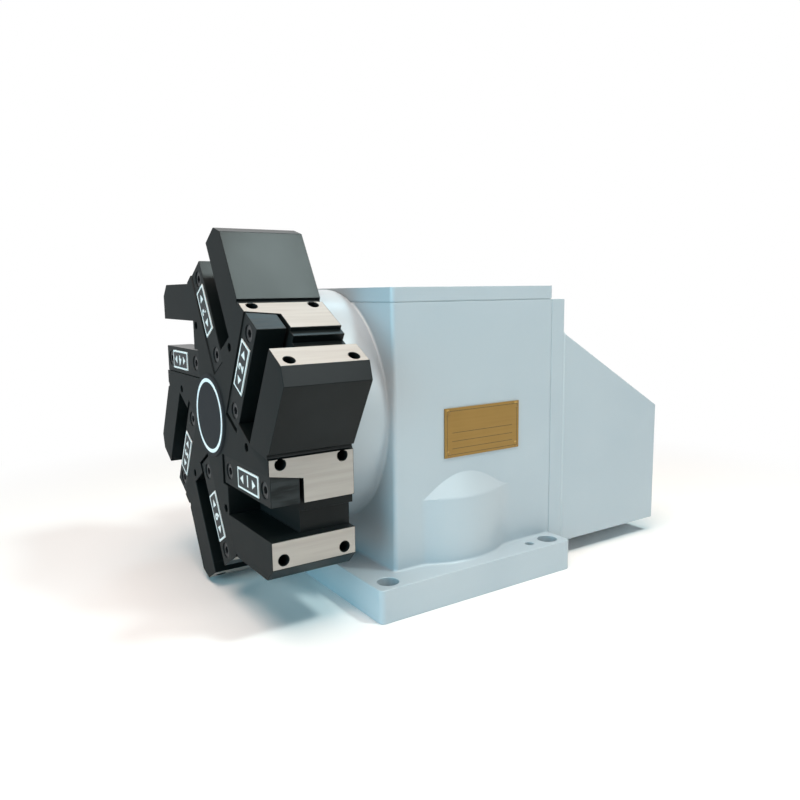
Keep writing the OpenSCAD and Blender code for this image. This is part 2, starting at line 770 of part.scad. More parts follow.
module spindle_seal() {
    color([0.1, 0.1, 0.1])
        axial_ring(bearing_x1 - seal_w, bearing_x1, journal_r + bush_wall, journal_r + slide_gap);
}

module rear_bush() {
    color([0.72, 0.55, 0.3])
        axial_ring(house_x1, plate_x1, rear_journal_r + bush_wall, rear_journal_r + run_gap);
}

module gear_motor() {
    fin_count = 24;
    fin_r = 1.6;
    color([0.3, 0.33, 0.36]) difference() {
        union() {
            on_axis(house_x1, motor_z) cylinder(r = pilot_r, h = plate_t + over);
            on_axis(plate_x1, motor_z) translate([-motor_flange, -motor_flange, 0])
                cube([2 * motor_flange, 2 * motor_flange, motor_flange_t]);
            on_axis(plate_x1 + motor_flange_t - over, motor_z) cylinder(r = motor_r, h = motor_l + over);
            on_axis(plate_x1 + motor_flange_t + motor_l - over, motor_z)
                cylinder(r1 = motor_r - bell_step, r2 = motor_r - bell_step - bell_h, h = bell_h + over);
        }
        on_axis(house_x1 - over, motor_z)
            cylinder(r = motor_shaft_r + run_gap, h = plate_t + 2 * motor_flange_t + over);
        motor_screw_places(plate_x1 + motor_flange_t)
            screw_hole(motor_screw_d, motor_flange_t + over, 2 * motor_screw_d);
        on_axis(plate_x1 + 2 * motor_flange_t, motor_z) around(fin_count, motor_r)
            cylinder(r = fin_r, h = motor_l - 2 * motor_flange_t);
    }
}

module motor_screws() {
    color([0.25, 0.26, 0.27]) motor_screw_places(plate_x1 + motor_flange_t)
        cap_screw(motor_screw_d, motor_flange_t + plate_t - 2 * hole_floor);
}

module encoder_sensor() {
    inner_y = encoder_r - sensor_in;
    reach = encoder_set + encoder_t + sensor_back;
    cut_z = axis_h - sensor_w / 2 - over;
    cut_w = sensor_w + 2 * over;
    color([0.15, 0.15, 0.16]) difference() {
        translate([plate_x1, inner_y, axis_h - sensor_w / 2]) cube([reach, sensor_in + sensor_out, sensor_w]);
        translate([encoder_x0 - sensor_gap, inner_y - over, cut_z])
            cube([encoder_t + 2 * sensor_gap, sensor_in + sensor_gap + over, cut_w]);
        translate([plate_x1 - over, inner_y - over, cut_z])
            cube([2 * over + sensor_gap, rear_journal_r + sensor_gap - inner_y + over, cut_w]);
    }
}

// Tool disc

module disc_outline() {
    polygon([for (k = [0 : stations - 1]) each
        [for (p = [[facet_n, foot_t], [facet_n, slot_t0], [facet_n - ledge_d, slot_t0],
            [facet_n - ledge_d, slot_t0 + ledge_w], [facet_n - rim_groove_d, slot_t0 + ledge_w],
            [facet_n - rim_groove_d, slot_t1], [facet_n, slot_t1], [facet_n, strip_t1],
            [facet_n - arm_chamfer, flank_t]])
            [p[0] * cos(-step * k) + p[1] * sin(-step * k), p[0] * sin(-step * k) - p[1] * cos(-step * k)]]]);
}

// Extrudes a section drawn across the slot, x along -t and y along the disc's depth
module along_slot(n0, n1) {
    translate([n0, 0, 0]) rotate([90, 0, 90]) linear_extrude(n1 - n0) children();
}

module station_bolt_places() {
    for (t = [station_bolt_t, station_bolt_t + station_bolt_pitch])
        for (d = [station_bolt_set, station_bolt_set + station_bolt_span])
            translate([facet_n, -t, disc_t - d]) rotate([0, 90, 0]) children();
}

module wedge_screw_places(z) {
    for (n = [wedge_n0 + wedge_screw_end, wedge_n1 - wedge_screw_end])
        translate([n, -wedge_screw_t, z]) children();
}

module station_cuts() {
    translate([slot_in, -slot_t1, disc_t - slot_d]) cube([2 * facet_n, slot_w, slot_d + over]);
    along_slot(seat_in, 2 * facet_n)
        polygon([[-slot_t0 - over, disc_t - slot_d], [-seat_floor_t, disc_t - slot_d],
            [-seat_t, disc_t], [-seat_t, disc_t + over], [-slot_t0 - over, disc_t + over]]);
    translate([facet_n, -foot_t, -over]) cylinder(r = relief_r, h = disc_t + 2 * over);
    station_bolt_places() translate([0, 0, -station_bolt_depth])
        cylinder(d = station_bolt_d, h = station_bolt_depth + over);
    wedge_screw_places(wedge_seat_z) tapped_hole(wedge_screw_d, wedge_screw_l + hole_floor, slide_gap);
    translate([coolant_n, -coolant_t, disc_t - coolant_d]) cylinder(r = coolant_r, h = coolant_d + over);
}

module tool_disc() {
    color([0.14, 0.16, 0.17]) difference() {
        at_station(0) linear_extrude(disc_t) disc_outline();
        for (k = [0 : stations - 1]) at_station(k) station_cuts();
        on_axis(disc_front - over) cylinder(r = hub_r, h = hub_d + over);
        on_axis(disc_back - nose_l) cylinder(r = nose_r + fit_gap, h = nose_l + over);
        on_axis(disc_front + hub_d) mirror([0, 0, 1]) around(stations, disc_bolt_pcr)
            screw_hole(disc_bolt_d, disc_t, hub_d);
        on_axis(disc_back) around(stations, disc_ring_screw_r)
            translate([0, 0, over]) tapped_hole(ring_screw_d, ring_thread * ring_screw_d + over);
    }
}

module hub_cap() {
    color([0.1, 0.11, 0.12]) {
        on_axis(disc_front - cap_t)
            cylinder(r1 = hub_r + cap_rim - cap_t / 2, r2 = hub_r + cap_rim, h = cap_t);
        on_axis(disc_front - over / 2) cylinder(r = hub_r - fit_gap, h = cap_plug + over / 2);
    }
}

module disc_bolts() {
    web = disc_t - hub_d - nose_l;
    color([0.25, 0.26, 0.27]) on_axis(disc_front + hub_d) mirror([0, 0, 1]) around(stations, disc_bolt_pcr)
        cap_screw(disc_bolt_d, web + thread_share * disc_bolt_d);
}

module disc_tooth_ring() {
    color([0.55, 0.56, 0.57]) difference() {
        union() {
            axial_ring(disc_back, root_x, teeth_mid - over, disc_ring_in);
            on_axis(root_x) around(coupling_teeth, 0) face_tooth(teeth_in, teeth_mid - 2 * over);
        }
        on_axis(root_x - ring_screw_d) around(stations, disc_ring_screw_r)
            screw_hole(ring_screw_d, root_x - disc_back, 2 * ring_screw_d + tooth_h);
    }
}

module disc_ring_screws() {
    color([0.25, 0.26, 0.27]) on_axis(root_x - ring_screw_d) around(stations, disc_ring_screw_r)
        cap_screw(ring_screw_d, root_x - disc_back - ring_screw_d + 2 * ring_screw_d);
}

module spindle() {
    flange_x1 = disc_back + flange_t;
    color([0.6, 0.61, 0.62]) difference() {
        on_axis(0) rotate_extrude() polygon([
            [0, disc_back - nose_l], [nose_r, disc_back - nose_l], [nose_r, disc_back],
            [flange_r, disc_back], [flange_r, flange_x1], [journal_r, flange_x1],
            [journal_r, bearing_x1 + over], [shaft_r, bearing_x1 + over], [shaft_r, gear_x0],
            [gear_seat_r, gear_x0], [gear_seat_r, nut_x1], [rear_journal_r, nut_x1],
            [rear_journal_r, plate_x1 + over], [tail_r, plate_x1 + over], [tail_r, tail_x1], [0, tail_x1]]);
        on_axis(disc_back - nose_l) mirror([0, 0, 1]) around(stations, disc_bolt_pcr)
            tapped_hole(disc_bolt_d, thread_share * disc_bolt_d + over);
        gear_key_box(fit_gap);
    }
}

// The key lies half in the spindle and half in the gear, at the top
module gear_key_box(gap) {
    translate([gear_x0 + over - gap, -key_w / 2 - gap, axis_h + gear_seat_r - key_h / 2 - gap])
        cube([gear_w - 2 * over + 2 * gap, key_w + 2 * gap, key_h + 2 * gap]);
}

module gear_key() {
    color([0.5, 0.5, 0.5]) gear_key_box(0);
}

module spindle_gear() {
    hole_r = (gear_pitch_r + gear_seat_r) / 2 - gear_m / 2;
    color([0.5, 0.52, 0.53]) difference() {
        on_axis(gear_x0) rotate([0, 0, 180 / gear_z]) linear_extrude(gear_w)
            gear_outline(gear_pitch_r, gear_z);
        on_axis(gear_x0 - over) cylinder(r = gear_seat_r + fit_gap, h = gear_w + 2 * over);
        on_axis(gear_x0 - over) around(stations, hole_r, step / 2)
            cylinder(r = (gear_pitch_r - gear_seat_r) / 6, h = gear_w + 2 * over);
        gear_key_box(fit_gap);
    }
}

module spindle_nut() {
    notch = 6;
    color([0.42, 0.43, 0.44]) difference() {
        axial_ring(nut_x0, nut_x1, nut_r, gear_seat_r + fit_gap);
        on_axis(nut_x0 - over) around(notch_count, nut_r) translate([-notch / 2, -notch / 2, 0])
            cube([notch, notch, nut_t + 2 * over]);
    }
}

module encoder_disc() {
    window_at = (encoder_r + tail_r) / 2 + window_r;
    color([0.7, 0.71, 0.72]) difference() {
        axial_ring(encoder_x0, encoder_x0 + encoder_t, encoder_r, tail_r + fit_gap);
        on_axis(encoder_x0 - over) around(stations, window_at)
            cylinder(r = window_r, h = encoder_t + 2 * over);
    }
}

// Lock ring, released: its tooth tips just clear the other two rings

module lock_ring() {
    color([0.5, 0.51, 0.52]) difference() {
        union() {
            axial_ring(lock_root_x, lock_x1, teeth_out, teeth_in);
            on_axis(lock_root_x) mirror([0, 0, 1]) around(coupling_teeth, 0, 180 / coupling_teeth)
                face_tooth(teeth_in + over, teeth_out - over);
        }
        on_axis(lock_x1 - pin_in) around(pin_count, pin_pcr) cylinder(r = pin_r + fit_gap, h = pin_in + over);
    }
}

module lock_ring_pins() {
    color([0.75, 0.75, 0.75]) on_axis(lock_x1 - pin_in) around(pin_count, pin_pcr)
        cylinder(r = pin_r, h = pin_in + pin_out);
}

// Motor pinion

module motor_shaft() {
    color([0.7, 0.71, 0.72]) on_axis(gear_x0 - shaft_out, motor_z)
        cylinder(r = motor_shaft_r, h = plate_x1 + motor_flange_t - gear_x0 + shaft_out);
}

module drive_pinion() {
    color([0.5, 0.52, 0.53]) difference() {
        on_axis(gear_x0, motor_z) linear_extrude(gear_w) gear_outline(pinion_pitch_r, pinion_z);
        on_axis(gear_x0 - over, motor_z) cylinder(r = motor_shaft_r + fit_gap, h = gear_w + 2 * over);
    }
}

// Wedge clamps, clamped

module wedge(k) {
    back = wedge_front - wedge_d;
    lean = tan(seat_angle);
    front_t = seat_t + wedge_set * lean + wedge_gap;
    back_t = seat_t + (wedge_set + wedge_d) * lean + wedge_gap;
    color([0.1, 0.11, 0.12]) at_station(k) difference() {
        along_slot(wedge_n0, wedge_n1)
            polygon([[-slot_t0, back], [-back_t, back], [-front_t, wedge_front], [-slot_t0, wedge_front]]);
        wedge_screw_places(wedge_seat_z) screw_hole(wedge_screw_d, wedge_d, 2 * wedge_head_h);
    }
}

module wedge_screws(k) {
    color([0.2, 0.21, 0.22]) at_station(k) wedge_screw_places(wedge_seat_z)
        cap_screw(wedge_screw_d, wedge_screw_l);
}

module station_tag(k) {
    tag_n = (wedge_n0 + wedge_n1) / 2 + tag_shift;
    color([0.92, 0.92, 0.9]) at_station(k)
        translate([tag_n - tag_l / 2, -wedge_screw_t - tag_w / 2, wedge_front]) cube([tag_l, tag_w, tag_t]);
}

housing_casting();
top_cover();
top_cover_screws();
rear_plate();
rear_plate_screws();
motor_cover();
cover_posts();
motor_cover_screws();
cable_gland();
nameplate();
nameplate_rivets();
fixed_tooth_ring();
fixed_ring_screws();
front_bush();
spindle_seal();
rear_bush();
gear_motor();
motor_screws();
encoder_sensor();
tool_disc();
hub_cap();
disc_bolts();
disc_tooth_ring();
disc_ring_screws();
spindle();
spindle_gear();
gear_key();
spindle_nut();
encoder_disc();
lock_ring();
lock_ring_pins();
motor_shaft();
drive_pinion();
for (k = [1 : stations]) {
    wedge(k - 1);
    wedge_screws(k - 1);
    station_tag(k - 1);
}
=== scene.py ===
# %% [markdown]
# # A lathe tool turret
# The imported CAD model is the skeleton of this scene. Every solid is already in its place and
# rides on its body, so this lesson breaks the solids' sharp corners, gives them their finishes,
# adds what is printed on them, and lights them.

# %% Load the frame
import bpy
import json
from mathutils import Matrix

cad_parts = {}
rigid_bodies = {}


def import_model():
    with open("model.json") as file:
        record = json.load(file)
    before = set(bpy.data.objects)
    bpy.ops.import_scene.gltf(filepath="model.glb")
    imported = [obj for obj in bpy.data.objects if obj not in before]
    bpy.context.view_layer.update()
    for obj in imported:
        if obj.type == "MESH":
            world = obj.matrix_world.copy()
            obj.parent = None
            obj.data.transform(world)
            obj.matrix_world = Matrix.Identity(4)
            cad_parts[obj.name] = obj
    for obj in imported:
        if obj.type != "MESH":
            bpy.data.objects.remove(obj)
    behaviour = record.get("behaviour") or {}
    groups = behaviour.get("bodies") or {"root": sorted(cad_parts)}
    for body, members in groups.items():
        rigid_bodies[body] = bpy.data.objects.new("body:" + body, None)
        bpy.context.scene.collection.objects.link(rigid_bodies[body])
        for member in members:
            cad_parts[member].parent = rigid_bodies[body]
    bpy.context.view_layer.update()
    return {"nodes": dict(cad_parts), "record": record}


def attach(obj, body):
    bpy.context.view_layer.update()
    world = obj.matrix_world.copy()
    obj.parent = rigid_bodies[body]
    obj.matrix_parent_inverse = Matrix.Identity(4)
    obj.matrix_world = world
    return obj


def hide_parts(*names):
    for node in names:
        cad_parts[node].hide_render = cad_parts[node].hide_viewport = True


for leftover in list(bpy.data.objects):
    bpy.data.objects.remove(leftover)

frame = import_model()
nodes = frame["nodes"]

# %% [markdown]
# ## Measures
# The drawing is in millimetres and Blender works in metres, so a length below is a number of
# millimetres times one factor. The disc's axis runs along X, and its six stations stand 60
# degrees apart round it. The first one looks to the near side, along minus Y.

# %% Measures and a helper
import json
import math

import bmesh
from mathutils import Matrix, Vector

MM = 0.001
AXIS_Z = 160 * MM
STATIONS, STATION_DEGREES = range(1, 7), 60


def station_axes(k):
    """The directions outward from the axis through a station, and along its face."""
    a = math.radians(STATION_DEGREES * (k - 1))
    return Vector((0, -math.cos(a), math.sin(a))), Vector((0, -math.sin(a), -math.cos(a)))


def place(name, data):
    """A new object in the scene."""
    made = bpy.data.objects.new(name, data)
    bpy.context.scene.collection.objects.link(made)
    return made


print("turret axis at", AXIS_Z)

# %% [markdown]
# ## The camera
# The photograph was taken from the front left, a little above the turret's axis. The place, the
# angles and the lens come from fitting a pinhole camera to the corners of the base, housing and
# disc. Building the matrix from its three axes avoids guessing at Euler angles.

# %% Camera
CAMERA_AT = Vector((-393.5, -606.5, 263.0)) * MM
YAW, PITCH, ROLL = math.radians(33.41), math.radians(8.44), math.radians(0.75)
LENS_MM, SENSOR_MM = 32.8, 36.0

forward = Vector((math.sin(YAW) * math.cos(PITCH), math.cos(YAW) * math.cos(PITCH),
                  -math.sin(PITCH)))
level = Vector((math.cos(YAW), -math.sin(YAW), 0))
down = forward.cross(level)
right = math.cos(ROLL) * level + math.sin(ROLL) * down
up = math.sin(ROLL) * level - math.cos(ROLL) * down
turn = Matrix((right, up, -forward)).transposed().to_4x4()

camera = place("camera", bpy.data.cameras.new("camera"))
camera.data.lens, camera.data.sensor_width = LENS_MM, SENSOR_MM
camera.matrix_world = Matrix.Translation(CAMERA_AT) @ turn
bpy.context.scene.camera = camera
print("camera", [round(c, 3) for c in CAMERA_AT])

# %% [markdown]
# ## Broken corners
# No real corner is a line. The casting's corners are ground by hand and rounded by filler and
# paint, and a milled corner is broken with a file, so each of them catches a thread of light. The
# imported solids have sharp corners, so a copy of each large solid is bevelled. Corners that look
# outward and corners that look inward take different radii. A test on the middle of each edge
# picks them, because a list of edge numbers would change whenever the model is built again.

# %% Choosing corners
FLAT, CORNER = math.radians(0.6), math.radians(28)


def crowded(vert):
    """An inward corner beside a join of flat faces: a bevel would run away along that join."""
    around = [edge for edge in vert.link_edges if edge.is_manifold]
    inward = any(edge.calc_face_angle() > CORNER and not edge.is_convex for edge in around)
    return inward and any(edge.calc_face_angle() < FLAT for edge in around)


def corners(solid, wanted):
    """The sharp edges whose kind and middle pass the test."""
    found = []
    for edge in solid.edges:
        if edge.is_manifold and edge.calc_face_angle() > CORNER:
            free = not edge.is_convex or not any(crowded(vert) for vert in edge.verts)
            if free and wanted(edge.is_convex, (edge.verts[0].co + edge.verts[1].co) / 2):
                found.append(edge)
    return found


def outward(convex, at):
    return convex


print("a corner turns by more than", round(math.degrees(CORNER)), "degrees")

# %% [markdown]
# ## Bevels and their normals
# A bevel is a few narrow strips along an edge. Plain smooth shading would smear their turn over
# the broad faces beside them, so the normals are set one by one: a flat face keeps its own, a
# round one flows, and the strips turn from one face to the next.

# %% Bevels and normals
FACE_TURN, STRIP_TURN = math.radians(20), math.radians(50)
ROUND_PROFILE = 0.5


def bevelled(solid, strip, edges, width, steps):
    made = bmesh.ops.bevel(solid, geom=edges, offset=width, offset_type="OFFSET", segments=steps,
                           profile=ROUND_PROFILE, affect="EDGES", clamp_overlap=False,
                           loop_slide=False)
    for face in made["faces"]:
        face[strip] = 1


def corner_normals(solid, strip):
    """One normal for each corner of each face, in the order of the mesh's loops."""
    solid.normal_update()
    solid.faces.index_update()
    areas = [face.calc_area() for face in solid.faces]
    normals = []
    for face in solid.faces:
        turn = STRIP_TURN if face[strip] else FACE_TURN
        for loop in face.loops:
            near = [other for other in loop.vert.link_faces
                    if other.normal.angle(face.normal, 0) < turn]
            broad = [other for other in near if not other[strip]] or near or [face]
            weighed = sum((areas[other.index] * other.normal for other in broad), Vector())
            normals.append(weighed.normalized())
    return normals


print("a strip turns by up to", round(math.degrees(STRIP_TURN)), "degrees")

# %% [markdown]
# ## A copy that stands for its solid
# The copy is welded, its flat faces are joined up again, and one cut after the other is bevelled.
# It rides on the body of its solid and is finished in its place, and the solid itself is hidden.
# The solid could be bevelled in CAD too, but such small strips would only slow it down.

# %% The edged copy
WELD = 2e-6
BREAK_STEPS, ROUND_STEPS, FILLET_STEPS = 2, 3, 4
BODIES = frame["record"]["behaviour"]["bodies"]
BODY_OF = {node: body for body, held in BODIES.items() for node in held}
shown = dict(nodes)


def edged(name, *cuts):
    """A copy with broken corners, which stands for its solid. A cut is (test, width, steps)."""
    solid = bmesh.new()
    solid.from_mesh(nodes[name].data)
    bmesh.ops.remove_doubles(solid, verts=solid.verts[:], dist=WELD)
    bmesh.ops.dissolve_limit(solid, angle_limit=FLAT, verts=solid.verts[:], edges=solid.edges[:])
    strip = solid.faces.layers.int.new("strip")
    for test, width, steps in cuts:
        bevelled(solid, strip, corners(solid, test), width, steps)
    for face in solid.faces:
        face.smooth = True
    normals = corner_normals(solid, strip)
    mesh = bpy.data.meshes.new(name + "_edged")
    solid.to_mesh(mesh)
    solid.free()
    mesh.normals_split_custom_set(normals)
    piece = place(name + "_edged", mesh)
    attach(piece, BODY_OF[name])
    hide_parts(name)
    shown[name] = piece
    print(piece.name, len(piece.data.polygons), "faces")


print("solids", len(BODY_OF))

# %% [markdown]
# ## Corners of the housing
# Where a wall of the casting rises from its flange, and where the spigot leaves the front wall,
# the pattern maker left a fillet for the iron to flow round. These are the inward corners on two
# known planes. The brow of the side boss is a fat round, and all other corners are broken by less
# than a millimetre. Where the boss runs out into the wall it is thinner than a bevel, so its two
# tips stay as cast.

# %% Housing corners
FLANGE_Z, FRONT_X, NEAR_Y = 28.5 * MM, -74.5 * MM, -113 * MM
SPIGOT_R, BROW_Z, REAR_X, COVER_X = 106 * MM, 86.5 * MM, 102.9 * MM, 120.6 * MM
CLOSE, TIP_X, TIP_END, TIP_H = 0.2 * MM, 31 * MM, 62 * MM, 10 * MM
FILLET_R, BROW_R, COVER_R = 2.2 * MM, 1.5 * MM, 1.2 * MM
CAST_BREAK, PLATE_BREAK = 0.8 * MM, 0.4 * MM


def boss_tip(at):
    beside = TIP_X < abs(at.x) < TIP_END
    return at.y < NEAR_Y + CLOSE and beside and abs(at.z - BROW_Z) < TIP_H


def cast_fillet(convex, at):
    on_flange = abs(at.z - FLANGE_Z) < CLOSE and at.x < REAR_X
    past_spigot = math.hypot(at.y, at.z - AXIS_Z) > SPIGOT_R - CLOSE
    on_front = abs(at.x - FRONT_X) < CLOSE and past_spigot
    return not convex and (on_flange or on_front)


def boss_brow(convex, at):
    on_brow = at.y < NEAR_Y - CLOSE and abs(at.z - BROW_Z) < CLOSE
    return convex and on_brow and not boss_tip(at)


def cast_corner(convex, at):
    return convex and not boss_tip(at)


def cover_mouth(convex, at):
    return convex and at.x < COVER_X


edged("housing_casting", (cast_fillet, FILLET_R, FILLET_STEPS), (boss_brow, BROW_R, ROUND_STEPS),
      (cast_corner, CAST_BREAK, BREAK_STEPS))
edged("top_cover", (outward, PLATE_BREAK, BREAK_STEPS))
edged("rear_plate", (outward, PLATE_BREAK, BREAK_STEPS))
edged("motor_cover", (cover_mouth, PLATE_BREAK, BREAK_STEPS), (outward, COVER_R, ROUND_STEPS))

# %% [markdown]
# ## Corners of the disc and of the small pieces
# Two bolt holes cut into the foot of each station face of the disc and leave a feather edge there,
# so no bevel is laid on it. All other outward corners of the disc, the wedges, the hub cap and the
# nameplate are broken with a file.

# %% Corners of the disc and of the small pieces
FACET_N, FOOT_T, FOOT_W, FOOT_H = 121 * MM, 17 * MM, 1.2 * MM, 2.5 * MM
STEEL_BREAK, CAP_BREAK, BRASS_BREAK = 0.5 * MM, 0.35 * MM, 0.2 * MM


def disc_corner(convex, at):
    arm = at - Vector((0, 0, AXIS_Z))
    at_foot = any(abs(arm.dot(out) - FACET_N) < FOOT_H and abs(arm.dot(along) - FOOT_T) < FOOT_W
                  for out, along in map(station_axes, STATIONS))
    return convex and not at_foot


edged("tool_disc", (disc_corner, STEEL_BREAK, BREAK_STEPS))
edged("hub_cap", (outward, CAP_BREAK, BREAK_STEPS))
edged("nameplate", (outward, BRASS_BREAK, BREAK_STEPS))
for k in STATIONS:
    edged(f"wedge_{k}", (outward, STEEL_BREAK, BREAK_STEPS))

# %% [markdown]
# ## What was ground and what was turned
# The six station faces of the disc lie 121 mm from the axis, and the faced ends of the wedges half
# a millimetre lower. A mark on these faces lets a finish tell them from black oxide. A second mark
# is on all that looks forward, which was turned to a duller face. The marks are attributes of the
# mesh's faces. A band of distances could pick them too, but it would also catch their bevels.

# %% Marks on the faces
WEDGE_END, SQUARE, FORWARD = 120.5 * MM, 0.1, -0.5


def mark(name, label, chosen):
    """Writes 1 on each face that passes the test, and 0 on the others."""
    mesh = shown[name].data
    marks = mesh.attributes.new(label, "FLOAT", "FACE")
    for face, written in zip(mesh.polygons, marks.data):
        written.value = float(chosen(face))


def mark_faces(name, reach):
    """Marks what lies along the axis at this reach from it, and what looks forward."""
    def at_rim(face):
        away = (face.center - Vector((0, 0, AXIS_Z))).dot(face.normal)
        return abs(away - reach) < CLOSE and abs(face.normal.x) < SQUARE

    mark(name, "ground", at_rim)
    mark(name, "turned", lambda face: face.normal.x < FORWARD)


mark_faces("tool_disc", FACET_N)
for k in STATIONS:
    mark_faces(f"wedge_{k}", WEDGE_END)
print("marked", 1 + len(STATIONS), "pieces")

# %% [markdown]
# ## Shader maths in Python
# A finish is a formula: how worn is this point, how rough, which way was it ground? One small
# class wraps a socket so that the formula can be written with Python's own operators. Each
# operator adds a Math node. Any other node comes from the method `node`: settings first, then the
# values or links of its sockets.


# %% Wire
class Wire:
    """One output of a material's nodes, with Python's operators on it."""

    def __init__(self, tree, socket=None):
        self.tree, self.socket = tree, socket

    def node(self, kind, settings=None, sockets=None, out=0):
        made = self.tree.nodes.new(kind)
        for name, value in (settings or {}).items():
            setattr(made, name, value)
        for key, value in (sockets or {}).items():
            if isinstance(value, Wire):
                self.tree.links.new(value.socket, made.inputs[key])
            else:
                made.inputs[key].default_value = value
        return Wire(self.tree, made.outputs[out] if len(made.outputs) else None)

    def math(self, operation, *values):
        return self.node("ShaderNodeMath", {"operation": operation}, dict(enumerate(values)))

    def __add__(self, other): return self.math("ADD", self, other)
    def __radd__(self, other): return self.math("ADD", other, self)
    def __sub__(self, other): return self.math("SUBTRACT", self, other)
    def __rsub__(self, other): return self.math("SUBTRACT", other, self)
    def __mul__(self, other): return self.math("MULTIPLY", self, other)
    def __rmul__(self, other): return self.math("MULTIPLY", other, self)
    def __pow__(self, other): return self.math("POWER", self, other)
    def __rpow__(self, other): return self.math("POWER", other, self)
    def __lt__(self, other): return self.math("LESS_THAN", self, other)
    def __gt__(self, other): return self.math("GREATER_THAN", self, other)
    def __abs__(self): return self.math("ABSOLUTE", self)


print("operators ready")

# %% [markdown]
# ## Reading a surface
# The imported solids sit at the origin, so object coordinates are places on the machine in metres.
# That lets a finish know where it is, and the marks on the faces tell it what was done there.
# Noise stretched along one direction gives grinding lines, and noise with even sides gives cast
# paint. Wear at corners, and on the housing enamel a painted highlight along its edges, come from
# the Bevel node, whose normal leaves the true one near a corner.

# %% Reading helpers
SOFT, CRISP, RICH = 2, 3, 4
MIX_SHARE, MIX_FIRST, MIX_SECOND, MIX_COLOUR = 0, 6, 7, 2
BEVEL_RAYS = 4


def spot(w):
    return w.node("ShaderNodeTexCoord", out="Object")


def split(w, vector):
    parts = w.node("ShaderNodeSeparateXYZ", None, {0: vector}).socket.node
    return [Wire(w.tree, output) for output in parts.outputs]


def distance(first, second):
    """How far from a line, from the two coordinates across it."""
    return ((first ** 2) + (second ** 2)) ** 0.5


def noise(w, scale, detail, stretch=None):
    at = spot(w)
    if stretch:
        at = w.node("ShaderNodeVectorMath", {"operation": "MULTIPLY"}, {0: at, 1: stretch})
    sockets = {"Vector": at, "Scale": scale, "Detail": detail}
    return w.node("ShaderNodeTexNoise", None, sockets, "Fac")


def blend_colour(w, share, first, second):
    sockets = {MIX_SHARE: share, MIX_FIRST: first, MIX_SECOND: second}
    return w.node("ShaderNodeMix", {"data_type": "RGBA"}, sockets, MIX_COLOUR)


def ramp(w, value, low, high):
    return w.node("ShaderNodeMapRange", {"interpolation_type": "SMOOTHSTEP"},
                  {"Value": value, "From Min": low, "From Max": high})


def bump(w, height, depth, force):
    return w.node("ShaderNodeBump", None, {"Strength": force, "Distance": depth, "Height": height})


def edge_wear(w, radius):
    """Near 0 on a flat face and higher towards a corner."""
    rounded_normal = w.node("ShaderNodeBevel", {"samples": BEVEL_RAYS}, {"Radius": radius})
    true_normal = w.node("ShaderNodeNewGeometry", out="Normal")
    alike = w.node("ShaderNodeVectorMath", {"operation": "DOT_PRODUCT"},
                   {0: rounded_normal, 1: true_normal}, "Value")
    return 1 - alike


def face_mark(w, label):
    return w.node("ShaderNodeAttribute", {"attribute_name": label}, out="Fac")


print("noise details", SOFT, CRISP, RICH)

# %% [markdown]
# ## Making and wearing a finish
# A finish is one material. Its recipe gives what changes over the surface, and what is the same
# everywhere is set on the shader's own sockets, where an export can read it.


# %% Making and wearing a finish
def bench(holder):
    """An empty node tree of a material or of the world, to build on."""
    holder.use_nodes = True
    holder.node_tree.nodes.clear()
    return Wire(holder.node_tree)


def finish(name, recipe, **constants):
    material = bpy.data.materials.new(name)
    w = bench(material)
    fixed = {key.replace("_", " ").title().replace("Ior", "IOR"): value
             for key, value in constants.items()}
    shader = w.node("ShaderNodeBsdfPrincipled", None, {**fixed, **recipe(w)})
    w.node("ShaderNodeOutputMaterial", None, {"Surface": shader})
    return material


def wear(mesh, material):
    mesh.materials.clear()
    mesh.materials.append(material)


def dress(material, *names):
    for name in names:
        wear(shown[name].data, material)
    print(material.name, "on", len(names))


print("pieces to dress", len(shown))

# %% [markdown]
# ## Housing paint
# The casting, its covers and the motor cover wear one coat of pale blue-grey machine enamel.
# Sprayed enamel over filler has a fine orange peel and a tone that drifts a little over a hand's
# width. Near the corners it is painted lighter and broken up by noise. This is partly knocks that
# show the primer and partly a painted highlight along each edge.

# %% Housing paint
PAINT, PAINT_DEEP = (0.44, 0.51, 0.55, 1), (0.41, 0.482, 0.527, 1)
# The lighter colour near the corners: primer at the knocks, and a painted highlight along the
# edges.
PRIMER_AND_HIGHLIGHT = (0.53, 0.585, 0.605, 1)
DRIFT, DRIFT_BAND, GLOSS, GLOSS_ROUGH, PAINT_ROUGH = 7, (0.35, 0.7), 24, 0.14, 0.36
PEEL, SWELL, SWELL_RISE, PEEL_DEPTH, PEEL_FORCE = 420, 60, 0.8, 0.12 * MM, 0.5
CHIP, KNOCK_AND_HIGHLIGHT_R, KNOCKED_AND_HIGHLIT, KNOCK_AND_HIGHLIGHT_SHARE, KNOCK_ROUGH = 90, 1.2 * MM, (0.09, 0.16), 0.6, 0.1


def housing_paint(w):
    peel = noise(w, PEEL, SOFT) + SWELL_RISE * noise(w, SWELL, SOFT)
    # Lighter near the corners: knocks that show the primer, and a painted highlight along each
    # edge.
    worn = ramp(w, edge_wear(w, KNOCK_AND_HIGHLIGHT_R) * noise(w, CHIP, RICH), *KNOCKED_AND_HIGHLIT)
    tone = blend_colour(w, ramp(w, noise(w, DRIFT, CRISP), *DRIFT_BAND), PAINT, PAINT_DEEP)
    rough = PAINT_ROUGH + GLOSS_ROUGH * noise(w, GLOSS, CRISP)
    return {"Base Color": blend_colour(w, KNOCK_AND_HIGHLIGHT_SHARE * worn, tone, PRIMER_AND_HIGHLIGHT),
            "Roughness": rough + KNOCK_ROUGH * worn,
            "Normal": bump(w, peel, PEEL_DEPTH, PEEL_FORCE)}


dress(finish("housing_enamel", housing_paint, coat_weight=0.5, coat_roughness=0.22),
      "housing_casting", "top_cover", "rear_plate", "motor_cover")

